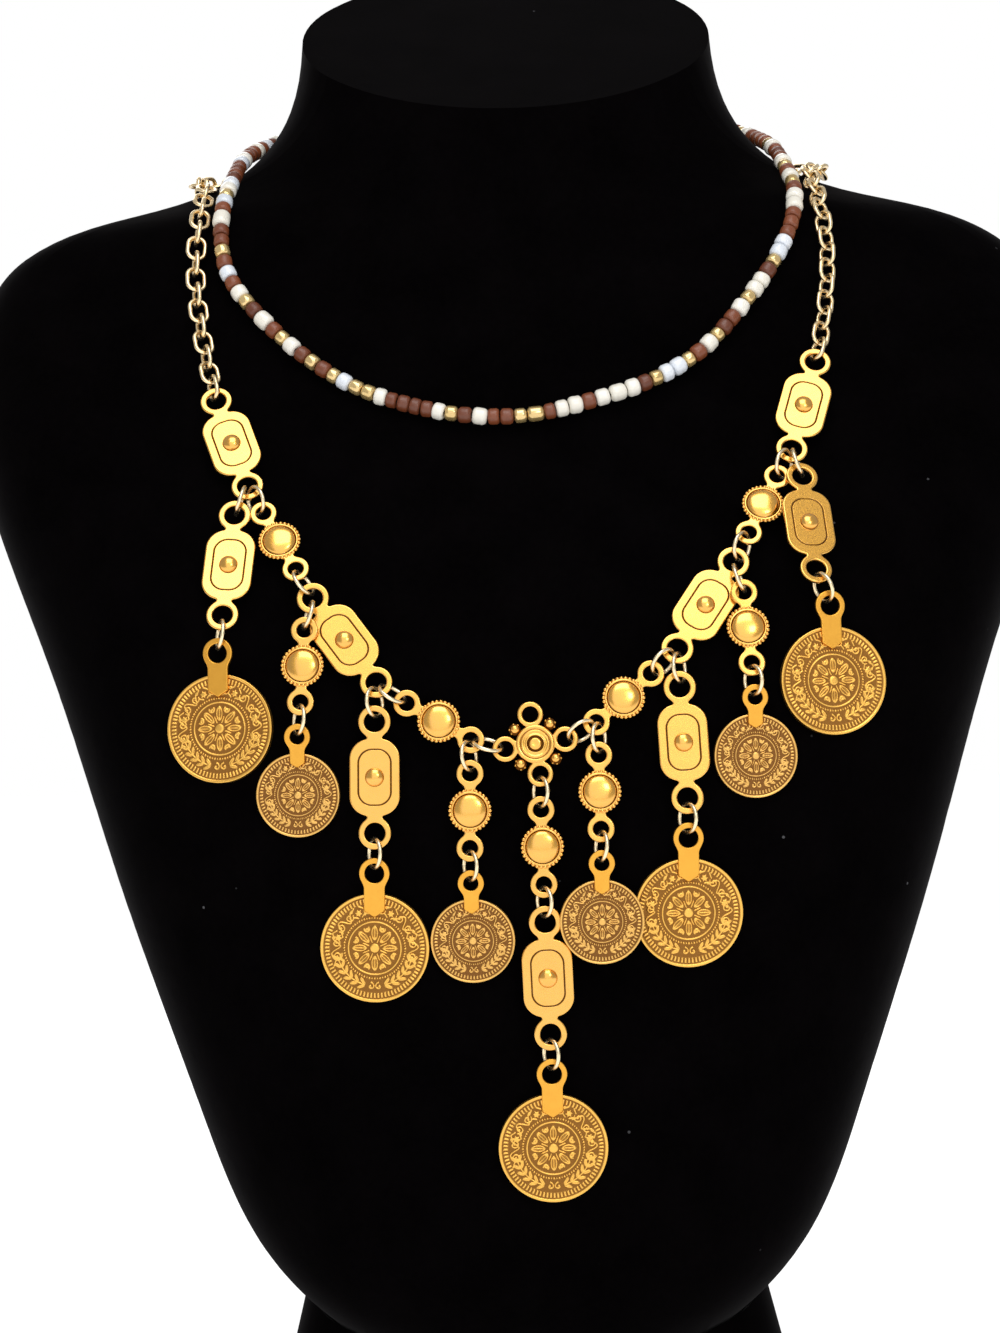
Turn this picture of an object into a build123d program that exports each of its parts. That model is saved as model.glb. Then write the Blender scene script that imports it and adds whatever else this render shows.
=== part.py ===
"""Coin necklace on a display bust.

Millimetres, +Z up, the front of the bust faces -Y, the origin is the middle of the foot's underside.
The necklace is laid out from its hub: each ring, link and coin starts where the last one ends, at a
heading seen from the front, in degrees from straight down, positive towards +X.
"""

import os
from math import asin, ceil, cos, pi, radians, sin, tan
from typing import NamedTuple

from build123d import *

os.makedirs("parts", exist_ok=True)

# Bust and foot
bust_height = 343.0
bust_width = 254.0
bust_depth = 138.0
neck_slant = 27.0
neck_front_height = 299.0
bust_bottom = 8.0
foot_width = 120.0
foot_depth = 92.0
foot_height = 34.0
foot_taper = 14.0
foot_middle = 2.0
pocket_gap = 0.6

# Wire, sheet and clearances
ring_wire = 0.9
ring_radius = 3.2
ring_tilt = 62.0
steep_tilt = 70.0
upright_tilt = 78.0
hole_clearance = 0.58
velvet_gap = 0.3
sheet = 1.0
wire_height = ring_radius * sin(radians(ring_tilt)) + ring_wire / 2 + velvet_gap

# Oval plates
plate_pitch = 24.5
plate_width = 11.1
plate_length = 17.0
plate_corner = 4.4
plate_neck = 4.0
plate_eyelet = 7.2
plate_hole = 4.5
plate_line_width = 7.6
plate_line_length = 12.7
plate_line_corner = 3.2
line_stroke = 0.35
line_depth = 0.25
plate_dome = 4.1
plate_dome_rise = 1.2
dome_sink = 0.2

# Round links
round_pitch = 16.3
round_diameter = 9.7
round_neck = 2.4
round_eyelet = 6.0
round_hole = 3.4
round_dome = 6.9
round_dome_rise = 1.1
grain_count = 30
grain_diameter = 0.94
grain_rise = 0.35

# Hub
hub_height = 152.8
hub_offset = 2.3
hub_lean = 8.0
hub_diameter = 8.6
hub_thickness = 1.4
hub_eyelet = 5.6
hub_hole = 3.6
hub_reach = 6.65
hub_neck = 2.6
hub_boss = 2.4
hub_boss_rise = 0.6
hub_ring_diameters = (3.6, 6.2)
hub_ring_stroke = 0.5
seat_reach = 5.5
seat_diameter = 3.3
granule_diameter = 1.75

# Coins
coin_relief = 0.25
tab_overlap = 0.05
above_tries = 3
reach_tries = 3
coin_tries = 3
rim_steps = 12
large_diameter = 24.0
large_thickness = 1.4
large_bail = 6.7
large_bail_hole = 4.3
large_bail_reach = 16.6
large_tab_width = 4.6
large_tab_length = 9.7
large_denticles = 84
small_diameter = 18.5
small_thickness = 1.3
small_bail = 5.75
small_bail_hole = 3.25
small_bail_reach = 12.85
small_tab_width = 3.3
small_tab_length = 6.8
small_denticles = 72

# Coin ornament, in shares of the coin's radius, and degrees from its top
rim_inner = 0.945
band_outer = 0.50
band_inner = 0.47
denticle_reach = 0.878
denticle_length = 0.085
denticle_width = 0.034
dot_reach = 0.56
dot_count = 36
dot_size = 0.02
petal_reach = 0.28
petal_count = 8
petal_length = 0.14
petal_width = 0.065
boss_size = 0.09
star_reach = 0.70
star_count = 4
star_start = 15
star_range = 150
star_size = 0.07
leaf_outer = 0.75
leaf_inner = 0.65
leaf_lean = 35
leaf_start = 105
leaf_range = 55
leaf_count = 6
leaf_length = 0.075
leaf_width = 0.026

# Chain, clasp and bead strand
link_length = 6.9
link_width = 5.0
link_wire = 1.0
link_slack = 0.36
link_tilt = 30.0
clasp_radius = 4.5
clasp_wire = 1.5
clasp_height = 3.0
clasp_level = 299.0
clasp_lead = 4.0
CHAIN_CLASP_ANGLE = {"left": 208.0, "right": -28.0}
BEAD_CLASP_ANGLE = {"left": 152.0, "right": 28.0}
bead_diameter = 4.0
bead_lift = 0.9
bend_share = 0.45
end_eye_radius = 1.9
end_eye_wire = 0.8
end_cap_length = 3.0
end_cap_diameter = 2.7
end_gap = 0.2


class Section(NamedTuple):
    """A level cut through the bust, in shares of its height, half width and depth."""

    height: float
    half_width: float
    middle: float
    front: float
    back: float
    side_rounding: float


SECTIONS = (
    Section(1.050, 0.382, 0.304, 0.010, 0.600, 0.80),
    Section(1.010, 0.381, 0.301, 0.008, 0.594, 0.80),
    Section(0.970, 0.381, 0.295, 0.004, 0.586, 0.80),
    Section(0.930, 0.384, 0.286, -0.002, 0.577, 0.80),
    Section(0.885, 0.408, 0.268, -0.018, 0.562, 0.75),
    Section(0.857, 0.453, 0.254, -0.036, 0.551, 0.65),
    Section(0.837, 0.516, 0.243, -0.047, 0.540, 0.50),
    Section(0.816, 0.669, 0.232, -0.058, 0.529, 0.30),
    Section(0.800, 0.827, 0.217, -0.067, 0.518, 0.30),
    Section(0.778, 0.928, 0.203, -0.084, 0.504, 0.36),
    Section(0.743, 0.980, 0.159, -0.110, 0.478, 0.52),
    Section(0.691, 1.000, 0.109, -0.162, 0.449, 0.72),
    Section(0.609, 0.961, 0.043, -0.270, 0.406, 0.90),
    Section(0.499, 0.854, -0.029, -0.401, 0.362, 0.94),
    Section(0.364, 0.740, -0.080, -0.449, 0.333, 0.94),
    Section(0.201, 0.594, -0.080, -0.442, 0.304, 0.94),
    Section(0.120, 0.503, -0.087, -0.428, 0.283, 0.90),
    Section(0.066, 0.376, -0.087, -0.370, 0.254, 0.82),
)
BOTTOM = Section(0.0, 0.252, -0.065, -0.275, 0.145, 0.75)


class Hang(NamedTuple):
    """A link and the ring that carries it, in degrees and in mm off the usual height."""

    kind: str
    ring_leaves: float
    ring_heads: float
    heads: float
    turn: float = 0.0
    lift: float = 0.0
    end_lift: float = 0.0
    ring_tilt: float = ring_tilt


# The collar runs out from the hub to the chain on each side.
COLLAR = {
    "left": (
        Hang("round", -100, -107, -121),
        Hang("plate", -121, -126, -144),
        Hang("round", -150, -151, -150.5),
        Hang("plate", -150, -151, -160, ring_tilt=-ring_tilt),
    ),
    "right": (
        Hang("round", 100, 119, 130),
        Hang("plate", 131, 132, 145),
        Hang("round", 150, 151, 151),
        Hang("plate", 150, 150, 162),
    ),
}

# Each drop hangs from a near end (0) or far end (1) of a collar link, counted from the hub.
DROPS = {
    "left": (
        (0, 0, Hang("round", -60, 2, -1.4, ring_tilt=-ring_tilt), Hang("small", 0, 0, 0.5)),
        (1, 0, Hang("plate", -15, -1.5, -1, ring_tilt=-ring_tilt), Hang("large", -2, -2, -1.6)),
        (
            1,
            1,
            Hang("round", -17, -14, -4, lift=1.2, end_lift=0.6, ring_tilt=steep_tilt),
            Hang("small", -5, -6.5, -1.2),
        ),
        (
            3,
            0,
            Hang("plate", -28, -20, -7, lift=1.2, end_lift=0.5, ring_tilt=upright_tilt),
            Hang("large", -7, -7, -0.5, ring_tilt=steep_tilt),
        ),
    ),
    "right": (
        (
            0,
            0,
            Hang("round", 72, -2.5, 0.2, end_lift=1.2, ring_tilt=-ring_tilt),
            Hang("small", 0, -0.5, -0.6, lift=2.6, end_lift=3.8, ring_tilt=steep_tilt),
        ),
        (1, 0, Hang("plate", 15, -1, 2.3, ring_tilt=-ring_tilt), Hang("large", 0, -0.3, -0.6)),
        (
            1,
            1,
            Hang("round", 17, 15, 4, lift=1.2, end_lift=0.6, ring_tilt=-steep_tilt),
            Hang("small", 3, 3.5, 0),
        ),
        (
            3,
            0,
            Hang("plate", 24, 12, 5, turn=8, lift=1.6, end_lift=3.2, ring_tilt=-steep_tilt),
            Hang("large", 20, 18, 2, lift=1.2, ring_tilt=steep_tilt),
        ),
    ),
}
CENTRE_DROP = (
    Hang("round", 0, -0.5, 0.9),
    Hang("plate", 0, 0.5, 1.4),
    Hang("large", 0, 0.5, 0),
)

# Chosen points of the chains and of the bead strand: x, y, z and the height off the velvet.
CHAIN_ROUTE = {
    "left": (
        (-70.5, -14, 244, 2.6),
        (-72.3, -8, 256.5, 2.6),
        (-72.7, -3, 266.5, 2.6),
        (-72.0, 3, 275.5, 2.6),
        (-71.5, 10, 280.5, 2.6),
        (-71.0, 20, 283.0, 2.6),
        (-74.0, 32, 285.5, 2.6),
        (-66.5, 46, 287.0, 2.6),
        (-54.5, 60, 288.0, 2.6),
        (-40.0, 72, 289.5, 2.6),
        (-26.0, 78, 290.5, 2.6),
        (-14.0, 80, 292.5, 2.6),
    ),
    "right": (
        (70.5, -13, 246.5, 2.6),
        (72.0, -8, 256.5, 2.6),
        (72.6, -3.5, 266, 2.6),
        (71.8, 2.5, 275.5, 2.6),
        (71.0, 10, 280.5, 2.6),
        (70.0, 20, 283.0, 2.6),
        (74.0, 32, 285.5, 2.6),
        (66.5, 46, 287.0, 2.6),
        (54.5, 60, 288.0, 2.6),
        (40.0, 72, 289.5, 2.6),
        (26.0, 78, 290.5, 2.6),
        (14.0, 80, 292.5, 2.6),
    ),
}
BEAD_ROUTE = (
    (-21, 79, 306),
    (-36, 71, 304.5),
    (-49, 59, 301),
    (-58, 44, 296.5),
    (-62.5, 29, 291.5),
    (-65, 16, 286.5),
    (-66.5, 6, 280),
    (-67.0, -1, 271.5),
    (-65.5, -7, 260.5),
    (-58.5, -12.5, 251),
    (-49, -20, 242),
    (-37, -27, 234.5),
    (-23.5, -30, 229.7),
    (-10, -32, 227),
    (3.5, -32, 226.8),
    (17, -30, 230),
    (31, -27, 234),
    (43, -22, 240.5),
    (52, -14, 250),
    (59.5, -9.5, 260),
    (65, -3, 270.5),
    (66.5, 5, 279.5),
    (65, 16, 286.5),
    (62.5, 29, 291.5),
    (58, 44, 296.5),
    (49, 59, 301),
    (36, 71, 304.5),
    (21, 79, 306),
)
bead_height = bead_diameter / 2 + bead_lift


def keep(piece, name):
    """Label one finished piece and write its STEP file."""
    piece.part.label = name
    export_step(piece.part, f"parts/{name}.step")


def section_outline(section, level):
    """The closed outline of one level cut: broad arcs front and back, rounder arcs at the sides."""
    half = section.half_width * bust_width / 2
    middle = section.middle * bust_depth
    forward = middle - section.front * bust_depth
    backward = section.back * bust_depth - middle
    side = section.side_rounding * min(forward, backward, half)

    def corner(depth):
        broad = ((half - side) ** 2 + depth**2 - side**2) / (2 * (depth - side))
        share = broad / (broad - side)
        return share * (half - side), depth - broad + share * (broad - depth)

    front_x, front_y = corner(forward)
    back_x, back_y = corner(backward)
    with BuildSketch(Plane.XY.offset(level)) as outline:
        with BuildLine():
            ThreePointArc((-front_x, middle - front_y), (0, middle - forward), (front_x, middle - front_y))
            ThreePointArc((front_x, middle - front_y), (half, middle), (back_x, middle + back_y))
            ThreePointArc((back_x, middle + back_y), (0, middle + backward), (-back_x, middle + back_y))
            ThreePointArc((-back_x, middle + back_y), (-half, middle), (-front_x, middle - front_y))
        make_face()
    return outline.sketch


# Bust: neck and torso in one skin, cut off at a slant above
neck_front = -0.025 * bust_depth
slant_normal = Vector(0, -sin(radians(neck_slant)), cos(radians(neck_slant)))
neck_cut = Plane(origin=(0, neck_front, neck_front_height), x_dir=(1, 0, 0), z_dir=slant_normal)
with BuildPart() as bust:
    add(section_outline(BOTTOM, bust_bottom))
    for section in reversed(SECTIONS):
        add(section_outline(section, section.height * bust_height))
    loft()
    split(bisect_by=neck_cut, keep=Keep.BOTTOM)
keep(bust, "bust")


foot_flare = foot_height * sin(radians(foot_taper)) / cos(radians(foot_taper))
with BuildPart() as foot:
    for level, inset in ((0, 0), (foot_height, foot_flare)):
        with BuildSketch(Plane((0, foot_middle, level))):
            Ellipse(foot_width / 2 - inset, foot_depth / 2 - inset)
    loft()
    add(bust.part.moved(Location((0, 0, -pocket_gap))), mode=Mode.SUBTRACT)
    add(bust.part, mode=Mode.SUBTRACT)
keep(foot, "bust_foot")


def above(x, z, height):
    """The point at a height off the velvet that lies at x and z seen from the front, and its normal."""
    foot_x, foot_z = x, z
    for _ in range(above_tries if height else 1):
        near, normal = bust.part.find_intersection_points(
            Axis((foot_x, -2 * bust_depth, foot_z), (0, 1, 0))
        )[0]
        point = near + normal * height
        foot_x += x - point.X
        foot_z += z - point.Z
    return point, normal


def reach(start, heading, length, height):
    """The point at a height off the velvet that lies a length from start, at a heading."""
    across, down = sin(radians(heading)), cos(radians(heading))
    run = length
    for _ in range(reach_tries):
        point, normal = above(start.X + run * across, start.Z - run * down, height)
        run *= length / (point - start).length
    return point, normal


def along(normal, heading):
    """The unit direction in the plane across normal that lies at a heading seen from the front."""
    level = Vector(sin(radians(heading)), 0, -cos(radians(heading)))
    return (level - normal * level.dot(normal)).normalized()


def eyelet_offset(hole):
    """How far from a hole's middle the ring's wire passes when it hangs taut."""
    return hole / 2 - ring_wire / 2 - hole_clearance


KINDS = {
    "round": (round_pitch, round_hole),
    "plate": (plate_pitch, plate_hole),
    "large": (large_bail_reach, large_bail_hole),
    "small": (small_bail_reach, small_bail_hole),
}


def piece_frame(start, end, normal, turn):
    """The plane of a link: its middle, with its long side up towards its first eyelet."""
    up = (start - end).normalized()
    face = (normal - up * normal.dot(up)).normalized().rotate(Axis((0, 0, 0), up), turn)
    return Plane(origin=(start + end) / 2, x_dir=up.cross(face), z_dir=face)


def ring_frame(start, end, normal, tilt):
    """The plane of a jump ring whose wire passes through two points, tilted off the velvet."""
    line = (end - start).normalized()
    flat = (normal - line * normal.dot(line)).normalized()
    face = flat.rotate(Axis((0, 0, 0), line), tilt)
    return Plane(origin=(start + end) / 2, x_dir=line, z_dir=face)


rings = {"left": [], "right": [], "centre": []}
pieces = {}


def hang(side, eyelet, normal, hole, link, name):
    """Hang one link by its ring from an eyelet, and return its two eyelets with their normals."""
    pitch, own_hole = KINDS[link.kind]
    leaves = eyelet + along(normal, link.ring_leaves) * eyelet_offset(hole)
    enters, _ = reach(leaves, link.ring_heads, 2 * ring_radius, wire_height + link.lift)
    rings[side].append(ring_frame(leaves, enters, normal, link.ring_tilt))
    first, first_normal = reach(enters, link.ring_heads, eyelet_offset(own_hole), wire_height + link.lift)
    if link.kind in ("large", "small"):
        pieces[name] = (link.kind, first, link)
        return first, first_normal, first, first_normal
    last, last_normal = reach(first, link.heads, pitch, wire_height + link.end_lift)
    pieces[name] = (link.kind, piece_frame(first, last, first_normal + last_normal, link.turn))
    return first, first_normal, last, last_normal


hub_middle, hub_normal = above(hub_offset, hub_height, wire_height)
hub_up = along(hub_normal, 180 + hub_lean)
hub_frame = Plane(origin=hub_middle, x_dir=hub_up.cross(hub_normal), z_dir=hub_normal)
hub_eyelets = {
    "left": hub_middle - hub_frame.x_dir * hub_reach,
    "right": hub_middle + hub_frame.x_dir * hub_reach,
    "centre": hub_middle - hub_frame.y_dir * hub_reach,
}

collar_ends = {}
for side in ("left", "right"):
    eyelet, normal, hole = hub_eyelets[side], hub_normal, hub_hole
    counts = {"round": 0, "plate": 0}
    ends = []
    for link in COLLAR[side]:
        counts[link.kind] += 1
        name = f"{side}_collar_{link.kind}_{counts[link.kind]}"
        first, first_normal, last, last_normal = hang(side, eyelet, normal, hole, link, name)
        hole = KINDS[link.kind][1]
        ends.append(((first, first_normal, hole), (last, last_normal, hole)))
        eyelet, normal = last, last_normal
    collar_ends[side] = (eyelet, normal)
    for number, (collar_link, which, link, coin) in enumerate(DROPS[side], start=1):
        start, start_normal, start_hole = ends[collar_link][which]
        name = f"{side}_drop_{number}"
        _, _, last, last_normal = hang(side, start, start_normal, start_hole, link, f"{name}_{link.kind}")
        hang(side, last, last_normal, KINDS[link.kind][1], coin, f"{name}_coin")

eyelet, normal, hole = hub_eyelets["centre"], hub_normal, hub_hole
for link in CENTRE_DROP:
    name = "centre_drop_coin" if link.kind in ("large", "small") else f"centre_drop_{link.kind}"
    _, _, eyelet, normal = hang("centre", eyelet, normal, hole, link, name)
    hole = KINDS[link.kind][1]


# Patterns, drawn flat round their own middle with the first eyelet towards +Y


def dome(diameter, rise):
    """A round dome on a plane, with a short stem that sinks into the sheet under it."""
    radius = (diameter**2 / 4 + rise**2) / (2 * rise)
    half_turn = asin(diameter / 2 / radius) / 2
    halfway = (radius * sin(half_turn), rise - radius * (1 - cos(half_turn)))
    with BuildPart() as cap:
        with BuildSketch(Plane.XZ):
            with BuildLine():
                ThreePointArc((0, rise), halfway, (diameter / 2, 0))
                Polyline((diameter / 2, 0), (diameter / 2, -dome_sink), (0, -dome_sink), (0, rise))
            make_face()
        revolve(axis=Axis.Z)
    return cap.part


plate_cap = dome(plate_dome, plate_dome_rise)
with BuildPart() as plate_pattern:
    with BuildSketch(Plane.XY.offset(-sheet / 2)):
        RectangleRounded(plate_width, plate_length, plate_corner)
        Rectangle(plate_neck, plate_pitch)
        with Locations((0, plate_pitch / 2), (0, -plate_pitch / 2)):
            Circle(plate_eyelet / 2)
            Circle(plate_hole / 2, mode=Mode.SUBTRACT)
    extrude(amount=sheet)
    with BuildSketch(Plane.XY.offset(sheet / 2)):
        RectangleRounded(plate_line_width, plate_line_length, plate_line_corner)
        RectangleRounded(
            plate_line_width - 2 * line_stroke,
            plate_line_length - 2 * line_stroke,
            plate_line_corner - line_stroke,
            mode=Mode.SUBTRACT,
        )
    extrude(amount=-line_depth, mode=Mode.SUBTRACT)
    with Locations((0, 0, sheet / 2)):
        add(plate_cap)

grain_ring = (round_diameter - grain_diameter) / 2
round_cap = dome(round_dome, round_dome_rise)
with BuildPart() as round_pattern:
    with BuildSketch(Plane.XY.offset(-sheet / 2)):
        Circle(grain_ring)
        Rectangle(round_neck, round_pitch)
        with PolarLocations(grain_ring, grain_count):
            Circle(grain_diameter / 2)
        with Locations((0, round_pitch / 2), (0, -round_pitch / 2)):
            Circle(round_eyelet / 2)
            Circle(round_hole / 2, mode=Mode.SUBTRACT)
    extrude(amount=sheet)
    with BuildSketch(Plane.XY.offset(sheet / 2)):
        with PolarLocations(grain_ring, grain_count):
            Circle(grain_diameter / 2)
    extrude(amount=grain_rise)
    with Locations((0, 0, sheet / 2)):
        add(round_cap)

hub_cap = dome(hub_boss, hub_boss_rise)
with BuildPart() as hub_pattern:
    with BuildSketch(Plane.XY.offset(-hub_thickness / 2)):
        Circle(hub_diameter / 2)
        with PolarLocations(seat_reach, 4, start_angle=45):
            Circle(seat_diameter / 2)
    extrude(amount=hub_thickness)
    with BuildSketch(Plane.XY.offset(-sheet / 2)):
        Rectangle(hub_neck, 2 * hub_reach)
        Rectangle(2 * hub_reach, hub_neck)
        with PolarLocations(hub_reach, 4):
            Circle(hub_eyelet / 2)
            Circle(hub_hole / 2, mode=Mode.SUBTRACT)
    extrude(amount=sheet)
    with BuildSketch(Plane.XY.offset(hub_thickness / 2)):
        for diameter in reversed(hub_ring_diameters):
            Circle(diameter / 2 + hub_ring_stroke / 2)
            Circle(diameter / 2 - hub_ring_stroke / 2, mode=Mode.SUBTRACT)
    extrude(amount=coin_relief)
    with Locations((0, 0, hub_thickness / 2)):
        add(hub_cap)
        with PolarLocations(seat_reach, 4, start_angle=45):
            Sphere(granule_diameter / 2)


def coin_ornament(radius, denticles):
    """A coin's raised ornament: rim, denticles, dotted ring, leaf sprays, stars and rosette."""
    with BuildSketch() as ornament:
        Circle(radius)
        Circle(rim_inner * radius, mode=Mode.SUBTRACT)
        Circle(band_outer * radius)
        Circle(band_inner * radius, mode=Mode.SUBTRACT)
        with PolarLocations(denticle_reach * radius, denticles):
            Rectangle(denticle_length * radius, denticle_width * radius)
        with PolarLocations(dot_reach * radius, dot_count):
            Circle(dot_size * radius)
        with PolarLocations(petal_reach * radius, petal_count):
            Ellipse(petal_length * radius, petal_width * radius)
        Circle(boss_size * radius)
        with PolarLocations(star_reach * radius, star_count, star_start, star_range, endpoint=True):
            RegularPolygon(star_size * radius, 3)
            RegularPolygon(star_size * radius, 3, rotation=180)
        for lean, reach_share in ((leaf_lean, leaf_outer), (-leaf_lean, leaf_inner)):
            for start in (leaf_start, -leaf_start - leaf_range):
                outward = lean if start > 0 else -lean
                with PolarLocations(reach_share * radius, leaf_count, start + 90, leaf_range, endpoint=True):
                    Ellipse(leaf_length * radius, leaf_width * radius, rotation=90 + outward)
    return ornament.sketch


def coin_pattern(diameter, thickness, denticles, bail, hole, bail_reach, tab_width, tab_length):
    """A coin with its flat bail and pointed tab, drawn round the middle of the bail's hole."""
    face_level = tab_overlap - sheet / 2
    ornament = coin_ornament(diameter / 2, denticles)
    with BuildPart() as coin:
        with BuildSketch(Plane((0, -bail_reach, face_level - thickness))):
            Circle(diameter / 2)
        extrude(amount=thickness)
        with Locations((0, -bail_reach, face_level)):
            add(ornament)
        extrude(amount=coin_relief)
        with BuildSketch(Plane.XY.offset(-sheet / 2)):
            Circle(bail / 2)
            with BuildLine():
                Polyline(
                    (-tab_width / 2, 0),
                    (-tab_width / 2, tab_width / 2 - tab_length),
                    (0, -tab_length),
                    (tab_width / 2, tab_width / 2 - tab_length),
                    (tab_width / 2, 0),
                    close=True,
                )
            make_face()
            Circle(hole / 2, mode=Mode.SUBTRACT)
        extrude(amount=sheet)
    return coin


patterns = {
    "plate": plate_pattern,
    "round": round_pattern,
    "large": coin_pattern(
        large_diameter,
        large_thickness,
        large_denticles,
        large_bail,
        large_bail_hole,
        large_bail_reach,
        large_tab_width,
        large_tab_length,
    ),
    "small": coin_pattern(
        small_diameter,
        small_thickness,
        small_denticles,
        small_bail,
        small_bail_hole,
        small_bail_reach,
        small_tab_width,
        small_tab_length,
    ),
}
coin_backs = {
    "large": (large_bail_reach, large_diameter / 2, large_thickness + sheet / 2 - tab_overlap),
    "small": (small_bail_reach, small_diameter / 2, small_thickness + sheet / 2 - tab_overlap),
}


def coin_frame(kind, bail, link):
    """The plane of a hanging coin, turned about its bail until its back lies just off the velvet."""
    length, radius, depth = coin_backs[kind]
    gap = velvet_gap + link.end_lift
    height = depth + gap
    for _ in range(coin_tries):
        middle, middle_normal = reach(bail, link.heads, length, height)
        up = (bail - middle).normalized()
        face = (middle_normal - up * middle_normal.dot(up)).normalized()
        face = face.rotate(Axis((0, 0, 0), up), link.turn)
        frame = Plane(origin=bail, x_dir=up.cross(face), z_dir=face)
        gains = [0.0]
        for step in range(rim_steps):
            angle = 2 * pi * step / rim_steps
            drop = length - radius * sin(angle)
            rim = frame.from_local_coords(Vector(radius * cos(angle), -drop, -depth))
            near, near_normal = above(rim.X, rim.Z, 0)
            gains.append((gap - (rim - near).dot(near_normal)) * length / drop)
        height += max(gains)
    return frame


for name, entry in pieces.items():
    kind = entry[0]
    frame = coin_frame(*entry) if kind in coin_backs else entry[1]
    with BuildPart(frame) as piece:
        add(patterns[kind].part)
    keep(piece, name)
with BuildPart(hub_frame) as hub:
    add(hub_pattern.part)
keep(hub, "hub")
for side, frames in rings.items():
    with BuildPart() as jump_rings:
        with Locations(*frames):
            Torus(ring_radius, ring_wire / 2)
    keep(jump_rings, f"{side}_jump_rings")


def seat(x, y, z, height):
    """The point at a height off the velvet nearest to a chosen one, and the way out from the velvet."""
    _, near, chosen = bust.part.distance_to_with_closest_points(Vertex(x, y, z))
    outward = (chosen - near).normalized()
    return near + outward * height, outward


clasp_middle, clasp_normal = seat(0, bust_depth, clasp_level, clasp_height)
with BuildPart(Plane(origin=clasp_middle, x_dir=(1, 0, 0), z_dir=clasp_normal)) as clasp:
    Torus(clasp_radius, clasp_wire / 2)
keep(clasp, "clasp")


def clasp_way(angle):
    """The direction along the clasp's ring at an angle from +X, seen from the front."""
    level = Vector(cos(radians(angle)), 0, sin(radians(angle)))
    return (level - clasp_normal * level.dot(clasp_normal)).normalized()


clasp_hole = clasp_radius - clasp_wire / 2
link_reach = (link_length - link_wire) / 2
with BuildPart() as link_pattern:
    bend = (link_width - link_wire) / 2
    straight = link_reach - bend
    with BuildLine() as loop:
        Line((-straight, -bend), (straight, -bend))
        ThreePointArc((straight, -bend), (straight + bend, 0), (straight, bend))
        Line((straight, bend), (-straight, bend))
        ThreePointArc((-straight, bend), (-straight - bend, 0), (-straight, -bend))
    with BuildSketch(Plane(origin=(-straight, -bend, 0), z_dir=(1, 0, 0))):
        Circle(link_wire / 2)
    sweep(path=loop.wire())

for side, (eyelet, normal) in collar_ends.items():
    route = [seat(*point)[0] for point in CHAIN_ROUTE[side]]
    way = clasp_way(CHAIN_CLASP_ANGLE[side])
    hole_gap = link_wire / 2 + hole_clearance
    start = eyelet + (route[0] - eyelet).normalized() * (plate_hole / 2 - hole_gap)
    last = clasp_middle + way * (clasp_hole - hole_gap)
    lead = clasp_middle + way * (clasp_radius + clasp_lead)
    with BuildLine() as path:
        Spline(start, *route, lead, last)
    chain_path = path.wire()
    run = chain_path.length - 2 * link_reach
    count = 2 * ceil(run / (link_length - 2 * link_wire - link_slack) / 2)
    frames = []
    for number in range(count + 1):
        spot = link_reach + number * run / count
        place = chain_path.position_at(spot, position_mode=PositionMode.LENGTH)
        tangent = chain_path.tangent_at(spot, position_mode=PositionMode.LENGTH)
        outward = seat(place.X, place.Y, place.Z, 0)[1]
        outward = (outward - tangent * outward.dot(tangent)).normalized()
        lean = link_tilt if number % 2 else link_tilt - 90
        face = outward.rotate(Axis((0, 0, 0), tangent), lean)
        frames.append(Plane(origin=place, x_dir=tangent, z_dir=face))
    with BuildPart() as chain:
        with Locations(*frames):
            add(link_pattern.part)
    keep(chain, f"chain_{side}")
    print(f"chain_{side}", count + 1, "links, pitch", round(run / count, 3))

# Bead strand: its two ends hook into the clasp, and the tube stands for the threaded beads
strand_ends = []
for side, angle in BEAD_CLASP_ANGLE.items():
    way = clasp_way(angle)
    eye_middle = clasp_hole - end_eye_wire / 2 - hole_clearance + end_eye_radius
    cap_start = eye_middle + end_eye_radius
    with BuildPart() as strand_end:
        with Locations(Plane(origin=clasp_middle + way * eye_middle, z_dir=way.cross(clasp_normal))):
            Torus(end_eye_radius, end_eye_wire / 2)
        with BuildSketch(Plane(origin=clasp_middle + way * cap_start, z_dir=way)):
            Circle(end_cap_diameter / 2)
        extrude(amount=end_cap_length)
    keep(strand_end, f"strand_end_{side}")
    cap_end = cap_start + end_cap_length + end_gap
    strand_ends.append([clasp_middle + way * cap_end, clasp_middle + way * (cap_end + clasp_lead)])
middle_run = [seat(*point, bead_height)[0] for point in BEAD_ROUTE]
strand = [*strand_ends[0], *middle_run, *reversed(strand_ends[1])]
bend_radii = []
for before, corner, after in zip(strand, strand[1:], strand[2:]):
    shorter = min((corner - before).length, (after - corner).length)
    turn = (corner - before).get_angle(after - corner)
    bend_radii.append(bend_share * shorter / tan(radians(turn / 2)))
with BuildPart() as bead_strand:
    with BuildLine() as strand_path:
        FilletPolyline(*strand, radius=bend_radii)
    with BuildSketch(Plane(origin=strand[0], z_dir=strand[1] - strand[0])):
        Circle(bead_diameter / 2)
    sweep(path=strand_path.wire())
keep(bead_strand, "bead_strand")
print("bend radii", [round(radius, 1) for radius in bend_radii])
print("strand length", round(strand_path.wire().length, 1), "volume", round(bead_strand.part.volume, 1))
print("section times length", round(pi * bead_diameter**2 / 4 * strand_path.wire().length, 1))
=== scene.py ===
"""Coin necklace on a black velvet display bust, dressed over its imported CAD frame.

The frame is in metres, +Z up, with the front of the bust facing -Y. Sizes of the pieces are written in
millimetres, and mm turns them into metres.
"""

import random
from math import cos, hypot, pi, radians, sin, tau
from typing import NamedTuple

import bmesh
import bpy
import numpy as np
from mathutils import Matrix, Vector
from mathutils.bvhtree import BVHTree
from mathutils.kdtree import KDTree


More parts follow.
